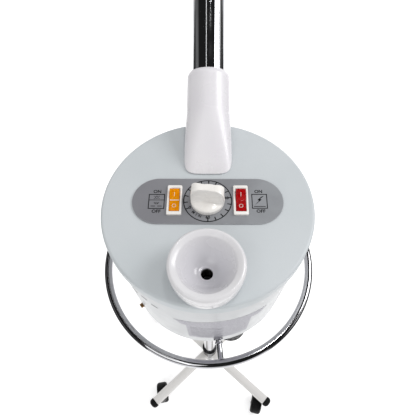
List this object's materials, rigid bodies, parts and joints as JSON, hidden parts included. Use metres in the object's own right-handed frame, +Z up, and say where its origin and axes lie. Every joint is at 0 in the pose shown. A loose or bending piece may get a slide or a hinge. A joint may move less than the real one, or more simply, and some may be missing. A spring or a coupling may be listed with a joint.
{
  "type": "facial steamer",
  "caption": "Drum-shaped steam generator on a lifting castor stand, with ring handle, water funnel, timer and rocker switches, and a swivelling arm with a tilting steam head.",
  "frame": {"origin": "on the floor under the column's axis", "axes": "+Z up, the controls face -Y and the arm leans towards +Y"},
  "size_m": [0.2953, 0.6903, 0.9765],
  "materials": {
    "chrome": "polished",
    "steel": "satin",
    "white_enamel": "gloss",
    "lid_enamel": "satin",
    "panel_grey": "printed satin",
    "white_plastic": "gloss",
    "ivory_plastic": "gloss",
    "black_plastic": "matte",
    "amber_lens": "gloss",
    "red_lens": "gloss",
    "tyre_grey": "matte",
    "silicone": "matte",
    "brass": "satin",
    "lamp_glass": "clear",
    "cutout_body": "matte",
    "grey_plastic": "satin"
  },
  "bodies": {
    "stand": {"base_hub": "chrome", "leg_front_left": "white_enamel", "leg_front_right": "white_enamel", "leg_back_right": "white_enamel", "leg_back_left": "white_enamel", "leg_end_caps": "black_plastic", "hub_screws": "steel", "column_tube": "chrome", "column_bush": "grey_plastic", "column_collar": "black_plastic"},
    "lock": {"lock_knob": "black_plastic"},
    "mast": {"inner_column": "chrome"},
    "machine": {"column_socket": "chrome", "socket_screws": "steel", "floor_plate": "white_enamel", "housing_shell": "white_enamel", "lid_cover": "lid_enamel", "cover_screws": "steel", "control_plate": "panel_grey", "ring_handle": "chrome", "boiler_tank": "steel", "boiler_gasket": "silicone", "boiler_lid": "steel", "boiler_screws": "steel", "heating_element": "steel", "level_probe": "steel", "thermal_cutout": "cutout_body", "ozone_lamp": "lamp_glass", "lamp_socket": "ivory_plastic", "steam_pipe": "steel", "water_funnel": "white_plastic", "fill_pipe": "grey_plastic", "relief_fitting": "brass", "power_inlet": "black_plastic", "drain_valve": "brass", "timer_case": "grey_plastic", "lamp_switch_frame": "ivory_plastic", "power_switch_frame": "ivory_plastic", "arm_neck": "white_plastic", "arm_bush": "white_plastic"},
    "timer_dial": {"timer_knob": "ivory_plastic"},
    "lamp_key": {"lamp_switch_rocker": "amber_lens"},
    "power_key": {"power_switch_rocker": "red_lens"},
    "drain_handle": {"drain_knob": "black_plastic"},
    "arm": {"arm_tube": "chrome", "arm_yoke": "chrome"},
    "head": {"head_shell": "white_plastic", "head_pivot_pins": "chrome"},
    "mouthpiece": {"nozzle_ring": "grey_plastic", "nozzle_grille": "black_plastic"},
    "castor_front_left": {"castor_fork_front_left": "black_plastic"},
    "wheel_front_left": {"castor_wheel_front_left": "tyre_grey"},
    "castor_front_right": {"castor_fork_front_right": "black_plastic"},
    "wheel_front_right": {"castor_wheel_front_right": "tyre_grey"},
    "castor_back_right": {"castor_fork_back_right": "black_plastic"},
    "wheel_back_right": {"castor_wheel_back_right": "tyre_grey"},
    "castor_back_left": {"castor_fork_back_left": "black_plastic"},
    "wheel_back_left": {"castor_wheel_back_left": "tyre_grey"}
  },
  "joints": [
    {"name": "castor_swivel_front_left", "type": "hinge", "parent": "stand", "child": "castor_front_left", "pos_m": [-0.1097, -0.1023, 0.05], "axis": [0, 0, 1], "continuous": true},
    {"name": "wheel_turn_front_left", "type": "hinge", "parent": "castor_front_left", "child": "wheel_front_left", "pos_m": [-0.11196, -0.0895, 0.02], "axis": [-0.9848, -0.1736, 0], "continuous": true},
    {"name": "castor_swivel_front_right", "type": "hinge", "parent": "stand", "child": "castor_front_right", "pos_m": [0.11321, -0.09841, 0.05], "axis": [0, 0, 1], "continuous": true},
    {"name": "wheel_turn_front_right", "type": "hinge", "parent": "castor_front_right", "child": "wheel_front_right", "pos_m": [0.11028, -0.11108, 0.02], "axis": [0.9744, -0.225, 0], "continuous": true},
    {"name": "castor_swivel_back_right", "type": "hinge", "parent": "stand", "child": "castor_back_right", "pos_m": [0.1097, 0.1023, 0.05], "axis": [0, 0, 1], "continuous": true},
    {"name": "wheel_turn_back_right", "type": "hinge", "parent": "castor_back_right", "child": "wheel_back_right", "pos_m": [0.11966, 0.11066, 0.02], "axis": [-0.6428, 0.766, 0], "continuous": true},
    {"name": "castor_swivel_back_left", "type": "hinge", "parent": "stand", "child": "castor_back_left", "pos_m": [-0.11321, 0.09841, 0.05], "axis": [0, 0, 1], "continuous": true},
    {"name": "wheel_turn_back_left", "type": "hinge", "parent": "castor_back_left", "child": "wheel_back_left", "pos_m": [-0.12447, 0.10491, 0.02], "axis": [-0.5, -0.866, 0], "continuous": true},
    {"name": "column_lift", "type": "slide", "parent": "stand", "child": "mast", "axis": [0, 0, 1], "range_m": [-0.09, 0.15]},
    {"name": "housing_swivel", "type": "hinge", "parent": "mast", "child": "machine", "pos_m": [0, 0, 0.59], "axis": [0, 0, 1], "continuous": true},
    {"name": "lock_knob_turn", "type": "hinge", "parent": "stand", "child": "lock", "pos_m": [0, 0.02, 0.436], "axis": [0, 1, 0], "range_deg": [0, 360]},
    {"name": "timer_turn", "type": "hinge", "parent": "machine", "child": "timer_dial", "pos_m": [0, 0.003, 0.7462], "axis": [0, 0, 1], "range_deg": [-300, 0]},
    {"name": "lamp_key_press", "type": "hinge", "parent": "machine", "child": "lamp_key", "pos_m": [-0.0326, 0.003, 0.7432], "axis": [1, 0, 0], "range_deg": [-22, 0]},
    {"name": "power_key_press", "type": "hinge", "parent": "machine", "child": "power_key", "pos_m": [0.0326, 0.003, 0.7432], "axis": [1, 0, 0], "range_deg": [-22, 0]},
    {"name": "drain_knob_turn", "type": "hinge", "parent": "machine", "child": "drain_handle", "pos_m": [0.028, -0.072, 0.59], "axis": [0, 0, 1], "range_deg": [0, 90]},
    {"name": "arm_swivel", "type": "hinge", "parent": "machine", "child": "arm", "pos_m": [0, 0.12996, 0.775], "axis": [0, 0.866, 0.5], "range_deg": [-90, 90]},
    {"name": "head_tilt", "type": "hinge", "parent": "arm", "child": "head", "pos_m": [0, 0.43654, 0.952], "axis": [1, 0, 0], "range_deg": [-35, 45]},
    {"name": "nozzle_turn", "type": "hinge", "parent": "head", "child": "mouthpiece", "pos_m": [0, 0.5258, 0.91951], "axis": [0, 0.9397, -0.342], "continuous": true}
  ]
}
